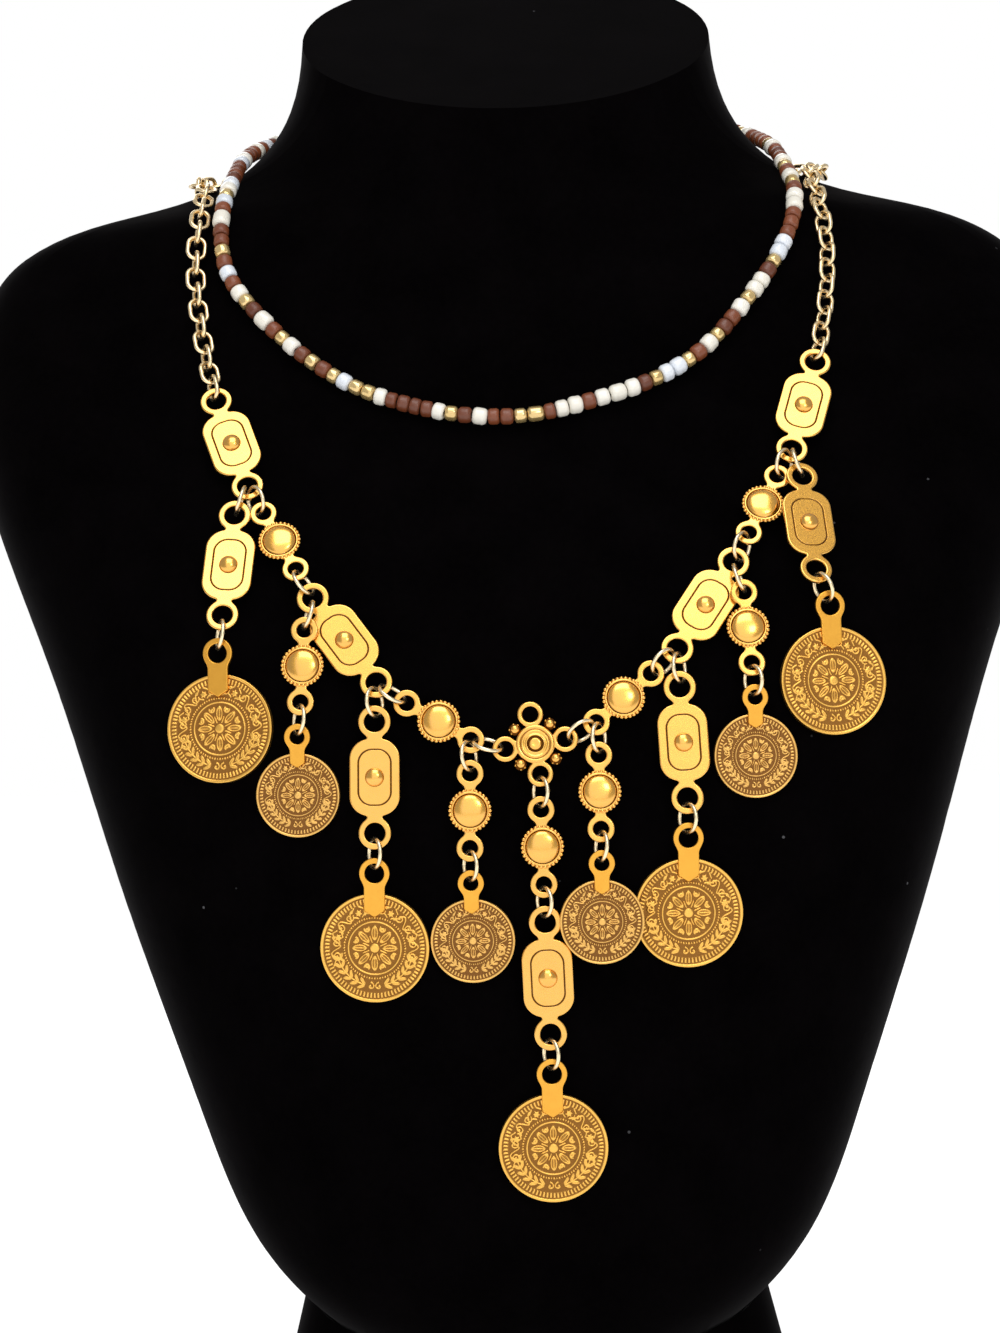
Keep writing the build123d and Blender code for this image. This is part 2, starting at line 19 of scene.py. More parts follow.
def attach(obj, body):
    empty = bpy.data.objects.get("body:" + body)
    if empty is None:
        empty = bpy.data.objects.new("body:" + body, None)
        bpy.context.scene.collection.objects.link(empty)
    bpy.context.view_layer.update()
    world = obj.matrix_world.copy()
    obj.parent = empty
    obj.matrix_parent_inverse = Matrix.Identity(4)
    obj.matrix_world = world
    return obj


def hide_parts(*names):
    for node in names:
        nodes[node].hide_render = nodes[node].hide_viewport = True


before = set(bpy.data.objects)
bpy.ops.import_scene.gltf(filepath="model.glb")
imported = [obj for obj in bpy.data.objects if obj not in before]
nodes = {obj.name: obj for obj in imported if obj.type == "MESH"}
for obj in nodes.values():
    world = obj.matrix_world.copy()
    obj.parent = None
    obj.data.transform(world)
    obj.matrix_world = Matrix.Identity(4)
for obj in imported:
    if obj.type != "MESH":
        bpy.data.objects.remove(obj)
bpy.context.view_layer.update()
mm = 0.001

# Camera of the photograph
photo_width = 1000
focal_pixels = 4963.6
sensor_width = 36.0
camera_place = Vector((-5, -1150, 170)) * mm
camera_roll = radians(1.4)
camera_near = 0.05

# Light and floor, in metres
light_aim = Vector((0, -0.05, 0.15))
studio_glow = 0.45
floor_size = 12


class SoftBox(NamedTuple):
    place: tuple
    size: float
    glow: float


LIGHTS = {
    "front": SoftBox((0, -1.8, 0.95), 1.8, 0.85),
    "key_right": SoftBox((0.5, -1.25, 0.8), 0.32, 6),
    "top": SoftBox((0, -0.66, 1.4), 0.9, 3.1),
    "back": SoftBox((-0.3, 1.4, 0.9), 1.0, 2),
}


class Metal(NamedTuple):
    face: tuple
    deep: tuple
    hollow: tuple
    roughness: float


METALS = {
    "tab_gold": Metal((0.84, 0.42, 0.06), (0.74, 0.34, 0.045), (0.25, 0.11, 0.03), 0.36),
    "large_coin_gold": Metal((0.92, 0.52, 0.11), (0.80, 0.42, 0.08), (0.30, 0.135, 0.03), 0.34),
    "small_coin_gold": Metal((0.84, 0.49, 0.135), (0.68, 0.37, 0.10), (0.25, 0.11, 0.03), 0.36),
    "ring_gold": Metal((0.97, 0.82, 0.54), (0.92, 0.68, 0.36), (0.4, 0.3, 0.2), 0.26),
    "chain_gold": Metal((0.98, 0.78, 0.47), (0.92, 0.62, 0.30), (0.4, 0.25, 0.1), 0.26),
}


class Glass(NamedTuple):
    face: tuple
    deep: tuple
    roughness: float
    coat: float
    metallic: float


GLASSES = {
    "brown": Glass((0.24, 0.062, 0.020), (0.09, 0.022, 0.009), 0.4, 0.1, 0.0),
    "ivory": Glass((0.86, 0.83, 0.76), (0.80, 0.76, 0.66), 0.25, 0.5, 0.0),
    "pearl": Glass((0.78, 0.81, 0.86), (0.66, 0.71, 0.78), 0.2, 0.6, 0.0),
    "gold_lined": Glass((0.85, 0.62, 0.27), (0.62, 0.42, 0.14), 0.15, 0.9, 0.7),
}

# Sheet metal, its rounded edges, and how finely outlines are followed
sheet = 1.0
sheet_edge = 0.3
edge_support = 0.06
edge_steps = 4
outline_step = 0.22
tracing_rounds = 3
closing_share = 0.7
dome_steps = 12

# Oval plates
plate_pitch = 24.5
plate_width = 11.1
plate_length = 17.0
plate_corner = 4.4
plate_neck = 2.4
plate_neck_end = 1.0
plate_eyelet = 7.2
plate_hole = 4.5
plate_line_width = 7.6
plate_line_length = 12.7
plate_line_corner = 3.2
line_stroke = 0.42
line_depth = 0.25
line_lip = 0.05
plate_dome = 4.2
plate_dome_rise = 1.35
plate_dome_sides = 32
neck_fillet = 1.0
plate_eyelet_fillet = 0.9

# Round links
round_pitch = 16.3
round_diameter = 9.7
round_neck = 2.4
round_neck_end = 0.8
round_eyelet = 6.0
round_hole = 3.4
round_dome = 7.3
round_dome_rise = 1.1
round_dome_fullness = 2.1
round_sides = 56
round_fillet = 0.8
round_eyelet_fillet = 0.7
grain_count = 30
grain_diameter = 0.94
grain_level = 0.38

# Hub
hub_lean = radians(8)
hub_diameter = 8.6
hub_thickness = 1.4
hub_bevel = 0.3
hub_eyelet = 5.75
hub_hole = 3.45
hub_reach = 6.65
hub_edge = 0.4
hub_fillet = 0.8
hub_sides = 64
seat_reach = 5.5
seat_diameter = 2.7
seat_sides = 28
granule_diameter = 1.85
granule_flatness = 0.65
granule_lift = 0.05
seed_granule = 0.55
seed_reach = 1.15
seed_level = 0.15
seed_darkness = 0.45
SEED_SPREADS = (-88, -40, 40, 88)


class Coin(NamedTuple):
    diameter: float
    thickness: float
    denticles: int
    bail: float
    hole: float
    bail_reach: float
    tab_width: float
    tab_length: float


COINS = {
    "large": Coin(24.0, 1.4, 84, 6.7, 4.3, 16.6, 4.6, 9.7),
    "small": Coin(18.5, 1.3, 72, 5.75, 3.25, 12.85, 3.3, 6.8),
}
tab_slope = 0.65
tab_edge = 0.2
tab_step = 0.1
tab_fillet = 0.8
coin_relief = 0.25
face_level = -0.45
steps_per_denticle = 6
ring_pitch = 0.145
first_ring = 0.03
quarter_rings = 0.2
half_rings = 0.45
edge_round = 0.14
back_recess = 0.12
back_darkness = 0.4


class Bead(NamedTuple):
    """A kind of seed bead, with its length along the thread."""

    finish: str
    length: float
    diameter: float


BEADS = {
    "B": Bead("brown", 2.55, 3.7),
    "I": Bead("ivory", 2.75, 4.0),
    "J": Bead("ivory", 3.7, 4.0),
    "P": Bead("pearl", 2.75, 3.95),
    "G": Bead("gold_lined", 2.4, 3.5),
    "H": Bead("gold_lined", 3.8, 3.6),
}
HIDDEN_BEADS = "BBBIIGPGB"
hidden_bead_pitch = 2.65
bead_sides = 22
bead_fill = 0.97
bead_tilt = 0.12
bead_hole = 0.9
bead_shoulder = 0.3
bead_dish = 0.25
bead_lip = 0.2
LENGTH_SPREAD = (0.86, 1.14)
DIAMETER_SPREAD = (0.96, 1.03)
thread_radius = 0.35
LEFT_BEADS = "B P I G P B J B B G B P B I G B J B G I B G B G P G G I B B B B I G B I B B G H"
RIGHT_BEADS = "B I I B I J I B G P P G B I G B B I G I I B G P P B B B I I B G I B G"
strand_left = Vector((-62, 16, 289)) * mm
strand_front = Vector((4.5, -35, 227.4)) * mm
strand_right = Vector((62.5, 16, 288.5)) * mm
bead_height = 2.9
clasp_radius = 4.5
clasp_wire = 1.5
clasp_height = 3.0
clasp_lead = 4.0
clasp_place = Vector((0, 138, 299)) * mm
BEAD_CLASP_ANGLE = (152.0, 28.0)
strand_end_length = 7.72
strand_end_overlap = 1.0
BEAD_ROUTE = (
    (-21, 79, 306),
    (-36, 71, 304.5),
    (-49, 59, 301),
    (-58, 44, 296.5),
    (-62.5, 29, 291.5),
    (-65, 16, 286.5),
    (-66.5, 6, 280),
    (-67.0, -1, 271.5),
    (-65.5, -7, 260.5),
    (-58.5, -12.5, 251),
    (-49, -20, 242),
    (-37, -27, 234.5),
    (-23.5, -30, 229.7),
    (-10, -32, 227),
    (3.5, -32, 226.8),
    (17, -30, 230),
    (31, -27, 234),
    (43, -22, 240.5),
    (52, -14, 250),
    (59.5, -9.5, 260),
    (65, -3, 270.5),
    (66.5, 5, 279.5),
    (65, 16, 286.5),
    (62.5, 29, 291.5),
    (58, 44, 296.5),
    (49, 59, 301),
    (36, 71, 304.5),
    (21, 79, 306),
)


# Camera, floor and light


def photo_camera():
    """The camera at the photograph's place, level, with its small roll."""
    camera = bpy.data.objects.new("photo_camera", bpy.data.cameras.new("photo_camera"))
    bpy.context.scene.collection.objects.link(camera)
    camera.data.sensor_fit = "HORIZONTAL"
    camera.data.sensor_width = sensor_width
    camera.data.lens = sensor_width * focal_pixels / photo_width
    camera.data.clip_start = camera_near
    right = Vector((cos(camera_roll), 0, -sin(camera_roll)))
    up = Vector((sin(camera_roll), 0, cos(camera_roll)))
    turned = Matrix((right, up, Vector((0, -1, 0)))).transposed().to_4x4()
    camera.matrix_world = Matrix.Translation(camera_place) @ turned
    bpy.context.scene.camera = camera


def soft_light(name, box):
    """A square soft box that faces the necklace, glow times as bright as white paper, unseen itself."""
    light = bpy.data.objects.new(name, bpy.data.lights.new(name, "AREA"))
    bpy.context.scene.collection.objects.link(light)
    light.data.size = box.size
    light.data.energy = box.glow * pi * box.size * box.size
    light.location = box.place
    light.rotation_euler = (light_aim - Vector(box.place)).to_track_quat("-Z", "Y").to_euler()
    light.visible_camera = False


class Shade:
    """One output socket. Arithmetic on it adds Math nodes."""

    def __init__(self, owner, socket):
        self.owner = owner
        self.socket = socket

    def math(self, operation, first, second):
        return self.owner.node("ShaderNodeMath", {"operation": operation}, {0: first, 1: second})

    def __add__(self, other):
        return self.math("ADD", self, other)

    def __radd__(self, other):
        return self.math("ADD", other, self)

    def __sub__(self, other):
        return self.math("SUBTRACT", self, other)

    def __rsub__(self, other):
        return self.math("SUBTRACT", other, self)

    def __mul__(self, other):
        return self.math("MULTIPLY", self, other)

    def __rmul__(self, other):
        return self.math("MULTIPLY", other, self)

    def __lt__(self, other):
        return self.math("LESS_THAN", self, other)

    def __gt__(self, other):
        return self.math("GREATER_THAN", self, other)

    def output(self, name):
        """Another output of the node that this socket belongs to."""
        return Shade(self.owner, self.socket.node.outputs[name])


class Nodes:
    """The nodes of a tree, and the shader that they feed."""

    def __init__(self, tree, surface, constants):
        self.tree = tree
        self.surface = tree.nodes[surface]
        for socket, value in constants.items():
            self.surface.inputs[socket].default_value = value

    def node(self, kind, settings=None, values=None):
        """A new node, its settings first, then its sockets' values or links. Returns its first output."""
        made = self.tree.nodes.new(kind)
        for name, value in (settings or {}).items():
            if name == "stops":
                self.set_stops(made.color_ramp.elements, value)
            else:
                setattr(made, name, value)
        for key, value in (values or {}).items():
            if isinstance(value, Shade):
                self.tree.links.new(value.socket, made.inputs[key])
            else:
                made.inputs[key].default_value = value
        return Shade(self, made.outputs[0])

    @staticmethod
    def set_stops(elements, stops):
        elements[0].position, elements[-1].position = stops[0][0], stops[-1][0]
        for place, _ in stops[1:-1]:
            elements.new(place)
        for element, (_, colour) in zip(elements, stops):
            element.color = (*colour, 1)

    def feed(self, socket, value):
        self.tree.links.new(value.socket, self.surface.inputs[socket])


class Finish(Nodes):
    """A material being mixed: its constants, and the nodes that vary it over the surface."""

    def __init__(self, name, constants):
        self.material = bpy.data.materials.new(name)
        self.material.use_nodes = True
        super().__init__(self.material.node_tree, "Principled BSDF", constants)
        self.place = self.node("ShaderNodeNewGeometry").output("Position")

    def ramp(self, value, *stops):
        return self.node("ShaderNodeValToRGB", {"stops": stops}, {0: value})

    def noise(self, size, detail=2.0):
        """Soft random patches about size millimetres across, from 0 to 1."""
        return self.node(
            "ShaderNodeTexNoise", values={"Vector": self.place, "Scale": 1 / (size * mm), "Detail": detail}
        )

    def mix(self, share, first, second):
        """A colour between two others."""
        colours = {6: first, 7: second}
        for key, colour in colours.items():
            if not isinstance(colour, Shade):
                colours[key] = (*colour, 1)
        mixed = self.node("ShaderNodeMix", {"data_type": "RGBA"}, {0: share, **colours})
        return Shade(self, mixed.socket.node.outputs[2])

    def recess(self):
        """How deep a point lies in the ornament, 0 on top to 1 at the bottom, as the mesh says. At the foot
        of a dome and in the grooves of links and hub it is painted shade as well.
        """
        return self.node("ShaderNodeAttribute", {"attribute_name": "recess"}).output("Fac")

    def bump(self, height, strength, depth):
        """Small relief on the surface, depth in millimetres."""
        values = {"Strength": strength, "Distance": depth * mm, "Height": height}
        self.feed("Normal", self.node("ShaderNodeBump", values=values))


def velvet_finish():
    """Deep black velvet: brushed patches of nap, a fine pile, and a few specks of pale lint."""
    lint_cells, lint_free, lint_size = 140.0, 0.86, 0.045
    finish = Finish(
        "black_velvet",
        {
            "Roughness": 1.0,
            "Specular IOR Level": 0.0,
            "Sheen Weight": 0.06,
            "Sheen Roughness": 0.3,
            "Sheen Tint": (0.8, 0.78, 0.8, 1),
        },
    )
    nap = finish.noise(14, 3) * 0.7 + finish.noise(1.6, 2) * 0.3
    cloth = finish.ramp(nap, (0.3, (0.0008, 0.0006, 0.0007)), (0.7, (0.0017, 0.0013, 0.0015)))
    cells = finish.node("ShaderNodeTexVoronoi", values={"Vector": finish.place, "Scale": lint_cells})
    pick = finish.node("ShaderNodeSeparateColor", values={0: cells.output("Color")})
    speck = (pick > lint_free) * (cells < lint_size)
    finish.feed("Base Color", finish.mix(speck * pick.output("Green"), cloth, (0.07, 0.07, 0.075)))
    finish.bump(finish.noise(0.35, 2) + finish.noise(3.5, 2) * 0.8, 0.4, 0.1)
    return finish.material


def metal_finish(name, metal, lacquer=0.0, **constants):
    """Plated metal: a bright face, deeper patches, a darker colour that is patina in its hollows and painted
    shadow at the foot of its domes, and a fine grain.
    """
    stain, grain = 0.35, 0.03
    finish = Finish(name, {"Metallic": 1.0, **constants})
    recess = finish.recess()
    patches = finish.noise(2.6, 4)
    colour = finish.mix(finish.ramp(patches, (0.40, (0, 0, 0)), (0.75, (stain,) * 3)), metal.face, metal.deep)
    specks = finish.noise(0.5, 2)
    # Hollow colour: patina in the ornament, painted shadow at the foot of domes and in the link grooves.
    patina_and_shade = finish.ramp(recess + (specks - 0.5) * 0.4, (0.25, (0, 0, 0)), (0.85, (1, 1, 1)))
    finish.feed("Base Color", finish.mix(patina_and_shade, colour, metal.hollow))
    if lacquer:
        finish.feed("Coat Weight", lacquer * (1 - recess))
    finish.feed("Roughness", metal.roughness + (specks - 0.5) * 0.1 + recess * 0.25)
    finish.bump(finish.noise(0.3, 2) + patches * 1.5, 0.25, grain)
    return finish.material


def bead_finish(name, glass):
    """Glass seed beads: a little deeper in colour from one bead to the next."""
    finish = Finish(name, {"Coat Weight": glass.coat, "Coat Roughness": 0.12, "Metallic": glass.metallic})
    tone = finish.node("ShaderNodeAttribute", {"attribute_name": "tone"}).output("Fac")
    clouds = finish.noise(1.1, 2)
    finish.feed("Base Color", finish.mix(tone * 0.7 + clouds * 0.3, glass.face, glass.deep))
    finish.feed("Roughness", glass.roughness + (clouds - 0.5) * 0.15)
    finish.bump(finish.noise(0.3, 2), 0.15, 0.03)
    return finish.material


# Outlines, drawn flat in millimetres round each piece's own middle: below 0 inside, above 0 outside


def shares(count):
    """The shares of a way from 0 to 1 in a number of equal steps."""
    return [step / count for step in range(count + 1)]


def polar(reach, angle):
    return reach * cos(angle), reach * sin(angle)


def spun(radius, count):
    """Points in equal steps on a circle round the origin."""
    return [polar(radius, tau * i / count) for i in range(count)]


def circle(point, middle, radius):
    return hypot(point[0] - middle[0], point[1] - middle[1]) - radius


def round_box(point, width, length, corner=0.0):
    across = abs(point[0]) - width / 2 + corner
    along = abs(point[1]) - length / 2 + corner
    return hypot(max(across, 0), max(along, 0)) + min(max(across, along), 0) - corner


def joined(first, second, fillet):
    """Two outlines as one, with a fillet where they meet."""
    share = max(fillet - abs(first - second), 0) / fillet
    return min(first, second) - share * share * fillet / 4


def way_out(outline, point, step=0.01):
    """The direction straight out of an outline at a point."""
    x, y = point
    across = outline((x + step, y)) - outline((x - step, y))
    along = outline((x, y + step)) - outline((x, y - step))
    size = hypot(across, along)
    return across / size, along / size


def round_hole_edge(middle, radius):
    """The outline of a sheet round a hole in it."""
    return lambda point: -circle(point, middle, radius)


def traced(outline, start, step=outline_step):
    """The line where an outline is 0, followed once round from a point near it."""
    line = []
    x, y = start
    while len(line) < 3 or hypot(x - line[0][0], y - line[0][1]) > closing_share * step:
        for _ in range(tracing_rounds):
            out = way_out(outline, (x, y))
            gap = outline((x, y))
            x, y = x - gap * out[0], y - gap * out[1]
        line.append((x, y))
        x, y = x - step * out[1], y + step * out[0]
    return line


# Mesh pieces


class Piece:
    """A mesh under construction, in millimetres in its own frame, with how deep each point lies, which also
    carries painted shade.
    """

    def __init__(self):
        self.mesh = bmesh.new()
        self.recess = self.mesh.verts.layers.float.new("recess")

    def point(self, x, y, z, recess=0.0):
        made = self.mesh.verts.new((x, y, z))
        made[self.recess] = recess
        return made

    def ring(self, points, level, recess=0.0):
        return [self.point(x, y, level, recess) for x, y in points]

    def bridge(self, first, second):
        """Faces between two closed rings with as many points."""
        for i in range(len(first)):
            self.mesh.faces.new((first[i - 1], first[i], second[i], second[i - 1]))

    def edges(self, ring):
        return [self.mesh.edges.get((ring[i - 1], ring[i])) for i in range(len(ring))]

    def fill(self, *rings):
        """Flat faces between closed rings that lie in each other."""
        edges = [edge for ring in rings for edge in self.edges(ring)]
        bmesh.ops.triangle_fill(self.mesh, use_beauty=True, use_dissolve=False, edges=edges)

    def cut_sheet(self, outline, start, holes, edge=sheet_edge, step=outline_step):
        """A sheet with rounded edges round an outline and its holes. Returns its rings in front, unfilled."""
        profile = [(edge + edge_support, -sheet / 2)]
        for share in shares(edge_steps):
            angle = pi / 2 * share
            profile.append((edge - edge * sin(angle), -sheet / 2 + edge - edge * cos(angle)))
        profile += [(inset, -height) for inset, height in reversed(profile)]
        borders = [(outline, traced(outline, start, step))]
        for middle, radius in holes:
            border = round_hole_edge(middle, radius)
            borders.append((border, traced(border, (middle[0] + radius, middle[1]), step)))
        fronts, backs = [], []
        for border, line in borders:
            outs = [way_out(border, point) for point in line]
            before = None
            for inset, height in profile:
                inner = [(x - inset * a, y - inset * b) for (x, y), (a, b) in zip(line, outs)]
                now = self.ring(inner, height)
                if before:
                    self.bridge(before, now)
                else:
                    backs.append(now)
                before = now
            fronts.append(before)
        self.fill(*backs)
        return fronts

    def turned(self, middle, profile, steps, close_below=False):
        """A shape turned round its own axis. The profile's rows are radius, level and depth; the depth also
        carries painted shade.
        """
        before = None
        for radius, level, recess in profile:
            if radius == 0:
                tip = self.point(*middle, level, recess)
                for i in range(steps):
                    self.mesh.faces.new((before[i - 1], before[i], tip))
                continue
            line = [(middle[0] + x, middle[1] + y) for x, y in spun(radius, steps)]
            now = self.ring(line, level, recess)
            if before:
                self.bridge(before, now)
            elif close_below:
                self.mesh.faces.new(now)
            before = now

    def ball(self, x, y, z, diameter, detail=2, recess=0.0, flat=1.0):
        place = Matrix.Translation((x, y, z)) @ Matrix.Diagonal((1, 1, flat, 1))
        made = bmesh.ops.create_icosphere(self.mesh, subdivisions=detail, radius=diameter / 2, matrix=place)
        for vert in made["verts"]:
            vert[self.recess] = recess

    def finished(self, place, gold, node):
        """The piece as an object in metres at its place, standing for its node."""
        name = f"{node}_dressed"
        bmesh.ops.recalc_face_normals(self.mesh, faces=self.mesh.faces)
        data = bpy.data.meshes.new(name)
        for face in self.mesh.faces:
            face.smooth = True
        self.mesh.to_mesh(data)
        self.mesh.free()
        dress(name, data, place, [gold], node)


def dress(name, data, place, materials, node):
    """An object from a mesh in millimetres, at its place, that stands for a CAD node."""
    data.transform(place @ Matrix.Scale(mm, 4))
    for material in materials:
        data.materials.append(material)
    made = bpy.data.objects.new(name, data)
    bpy.context.scene.collection.objects.link(made)
    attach(made, "root")
    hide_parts(node)


def domed(diameter, base, rise, fullness=2.0, sunk=0.25):
    """The profile of a dome whose edge is darkened with painted shadow where it meets the sheet."""
    # The depth column paints shadow here: full at the dome's foot, fading out up its lower flank.
    profile = [(diameter / 2, base - sunk, 1.0), (diameter / 2, base, 1.0)]
    for step in range(1, dome_steps):
        share = 1 - step / dome_steps
        height = (1 - share**fullness) ** (1 / fullness)
        profile.append((share * diameter / 2, base + rise * height, max(0.0, 0.7 - 3 * height)))
    profile.append((0, base + rise, 0.0))
    return profile


def plate(name, place, gold):
    """An oval plate: rounded edges, an incised line, a dome in the middle and an eyelet at each end."""
    piece = Piece()
    ends = [(0, plate_pitch / 2), (0, -plate_pitch / 2)]

    def outline(point):
        neck = round_box(point, plate_neck, plate_pitch - plate_hole - plate_neck_end)
        body = joined(round_box(point, plate_width, plate_length, plate_corner), neck, neck_fillet)
        for end in ends:
            body = joined(body, circle(point, end, plate_eyelet / 2), plate_eyelet_fillet)
        return body

    def line(point):
        return round_box(point, plate_line_width, plate_line_length, plate_line_corner)

    fronts = piece.cut_sheet(outline, (plate_width / 2, 0), [(end, plate_hole / 2) for end in ends])
    path = traced(line, (plate_line_width / 2, 0))
    outs = [way_out(line, point) for point in path]
    top = sheet / 2
    groove = [
        (-line_lip, 0.0, 0.0),
        (0.0, 0.0, 0.4),
        (line_stroke / 3, line_depth, 1.0),
        (line_stroke * 2 / 3, line_depth, 1.0),
        (line_stroke, 0.0, 0.4),
        (line_stroke + line_lip, 0.0, 0.0),
    ]
    rings = []
    for inset, depth, recess in groove:
        inner = [(x - inset * a, y - inset * b) for (x, y), (a, b) in zip(path, outs)]
        rings.append(piece.ring(inner, top - depth, recess))
    for before, now in zip(rings, rings[1:]):
        piece.bridge(before, now)
    piece.fill(*fronts, rings[0])
    piece.mesh.faces.new(rings[-1])
    piece.turned((0, 0), domed(plate_dome, top, plate_dome_rise), plate_dome_sides)
    piece.finished(place, gold, name)


def round_link(name, place, gold):
    """A round link: a smooth pillowed middle in a flat flange, a milled edge of grains and two eyelets."""
    piece = Piece()
    ends = [(0, round_pitch / 2), (0, -round_pitch / 2)]
    grain_ring = (round_diameter - grain_diameter) / 2

    def outline(point):
        neck = round_box(point, round_neck, round_pitch - round_hole - round_neck_end)
        body = joined(circle(point, (0, 0), grain_ring), neck, round_fillet)
        for end in ends:
            body = joined(body, circle(point, end, round_eyelet / 2), round_eyelet_fillet)
        return body

    fronts = piece.cut_sheet(outline, (grain_ring, 0), [(end, round_hole / 2) for end in ends])
    piece.fill(*fronts)
    top = sheet / 2
    # Painted shade: the depth column is dark where the flange meets the grains and in the groove at its inner
    # edge, where the dome starts.
    flange = [
        (4.22, top - 0.1, 1.0),
        (4.22, top + 0.12, 0.8),
        (4.15, top + 0.22, 0.0),
        (3.9, top + 0.26, 0.0),
        (3.78, top + 0.2, 0.1),
        (3.7, top + 0.02, 1.0),
    ]
    pillow = domed(round_dome, top, round_dome_rise, round_dome_fullness, sunk=0.0)
    piece.turned((0, 0), flange + pillow, round_sides)
    for spot in spun(grain_ring, grain_count):
        piece.ball(*spot, grain_level, grain_diameter)
    piece.finished(place, gold, name)


def hub(place, gold):
    """The middle piece: a stepped disc with a ringed boss, four eyelets and four granules on seats."""
    piece = Piece()
    ends = spun(hub_reach, 4)

    def outline(point):
        body = circle(point, (0, 0), hub_diameter / 2 - hub_bevel)
        for end in ends:
            body = joined(body, circle(point, end, hub_eyelet / 2), hub_fillet)
        return body

    start = (hub_reach + hub_eyelet / 2, 0)
    piece.fill(*piece.cut_sheet(outline, start, [(end, hub_hole / 2) for end in ends], edge=hub_edge))
    half, top = hub_diameter / 2, hub_thickness / 2
    # The depth column darkens the grooves and the sunk ring round the boss: patina, with painted shade in the
    # grooves' bottoms.
    disc = [
        (half - hub_bevel, -top, 0.0),
        (half, -top + hub_bevel, 0.0),
        (half, top - 0.35, 0.0),
        (half - 0.12, top - 0.1, 0.0),
        (half - 0.4, top, 0.0),
        (3.5, top + 0.02, 0.0),
        (3.38, top - 0.08, 0.5),
        (3.28, top - 0.1, 0.9),
        (3.18, top + 0.05, 0.4),
        (3.08, top + 0.2, 0.0),
        (2.9, top + 0.26, 0.0),
        (2.7, top + 0.22, 0.0),
        (2.5, top + 0.1, 0.2),
        (2.35, top + 0.1, 0.1),
        (2.1, top + 0.24, 0.0),
        (1.95, top + 0.27, 0.0),
        (1.84, top + 0.2, 0.5),
        (1.80, top - 0.1, 1.0),
        (1.4, top - 0.13, 1.0),
        (1.36, top + 0.15, 1.0),
        (1.3, top + 0.34, 0.3),
        (1.15, top + 0.44, 0.0),
        (0.75, top + 0.46, 0.0),
        (0.5, top + 0.4, 0.15),
        (0, top + 0.38, 0.1),
    ]
    piece.turned((0, 0), disc, hub_sides, close_below=True)
    pad_edge = seat_diameter / 2
    pad = [
        (pad_edge - 0.25, -0.6, 1.0),
        (pad_edge, -0.3, 1.0),
        (pad_edge - 0.1, 0.05, 1.0),
        (pad_edge - 0.5, 0.2, 1.0),
        (0, 0.25, 1.0),
    ]
    for corner in range(4):
        angle = pi / 4 + corner * pi / 2
        middle = polar(seat_reach, angle)
        piece.turned(middle, pad, seat_sides, close_below=True)
        piece.ball(*middle, top + granule_lift, granule_diameter, detail=3, flat=granule_flatness)
        for spread in SEED_SPREADS:
            x, y = polar(seed_reach, angle + radians(spread))
            piece.ball(middle[0] + x, middle[1] + y, seed_level, seed_granule, recess=seed_darkness)
    piece.finished(place, gold, "hub")


# Coin ornament. Places and sizes are shares of the coin's radius, and heights go from 0 to 1

rim_start = 0.945
soft_shoulder = 0.02
crisp_shoulder = 0.008
denticle_reach = 0.878
denticle_half_width = 0.017
denticle_half_length = 0.0425
RING_LINES = ((0.485, 0.015, 0.012, 1.0), (0.822, 0.006, 0.006, 0.6))
dot_count = 36
dot_reach = 0.56
DOTS = ((0.0, 0.021), (0.5, 0.016))
boss = 0.09
boss_shoulder = 0.05
petal_count = 8
petal_reach = 0.28
petal_length = 0.14
petal_width = 0.065
petal_hollow = 0.75
petal_rim = 0.018
petal_rim_shoulder = 0.012
petal_vein = 0.010
curl_reach = 0.37
curl_size = 0.055
curl_lean = 0.9
STALK = (0.12, 0.16, 0.2, 0.24)
border_reach = 0.70
STAR_ANGLES = (15, 65, 115, 165)
star_size = 0.078
SPRAY_SIDES = ((35, 0.755), (-35, 0.645))
spray_leaves = 6
leaf_start = 105
leaf_pitch = 11
leaf_length = 0.082
leaf_width = 0.032
leaf_shoulder = 0.015
leaf_vein = 0.008
stem_start = 16
stem_sweep = 60
foot_scroll = 0.07
foot_spread = 0.075
SCROLL_ANGLES = (-3, 40, 90, 140, 183)
scroll_reach = 0.715
scroll_size = 0.078
scroll_turns = 1.35
scroll_spread = 0.17
SHOOTS = ((0.79, 0.06), (0.64, -0.05))
shoot_spread = 0.33
shoot_sweep = 0.10
wave_rise = 0.085
wave_sweep = 0.30
line_half_width = 0.0155
line_shoulder = 0.0145
line_spacing = 0.012


def rounded(inside, shoulder):
    """The height of a form, from how far inside it a point lies."""
    share = np.clip(inside / shoulder, 0, 1)
    return np.sqrt(1 - (1 - share) ** 2)


def scroll(middle, size, start, turns, way):
    """A spiral line that opens out from its middle."""
    line = []
    for share in shares(60):
        x, y = polar(size * share**0.8, start + way * tau * turns * (1 - share))
        line.append((middle[0] + x, middle[1] + y))
    return line


def border_lines(middle_angle):
    """A pair of scrolls with short shoots beside them, on a wavy stem in the border."""
    lines = []
    for side in (-1, 1):
        angle = middle_angle + side * scroll_spread
        eye, start = polar(scroll_reach, angle), angle + side * pi / 2
        lines.append(scroll(eye, scroll_size, start, scroll_turns, side))
        shoot, sweep = middle_angle + side * shoot_spread, side * shoot_sweep
        swings = [share - 0.5 for share in shares(15)]
        for reach, bend in SHOOTS:
            lines.append([polar(reach + bend * swing, shoot + swing * sweep) for swing in swings])
    swings = [share * 2 - 1 for share in shares(30)]
    waves = [scroll_reach + wave_rise * sin(swing * pi * 1.5) for swing in swings]
    lines.append([polar(reach, middle_angle + swing * wave_sweep) for reach, swing in zip(waves, swings)])
    return lines


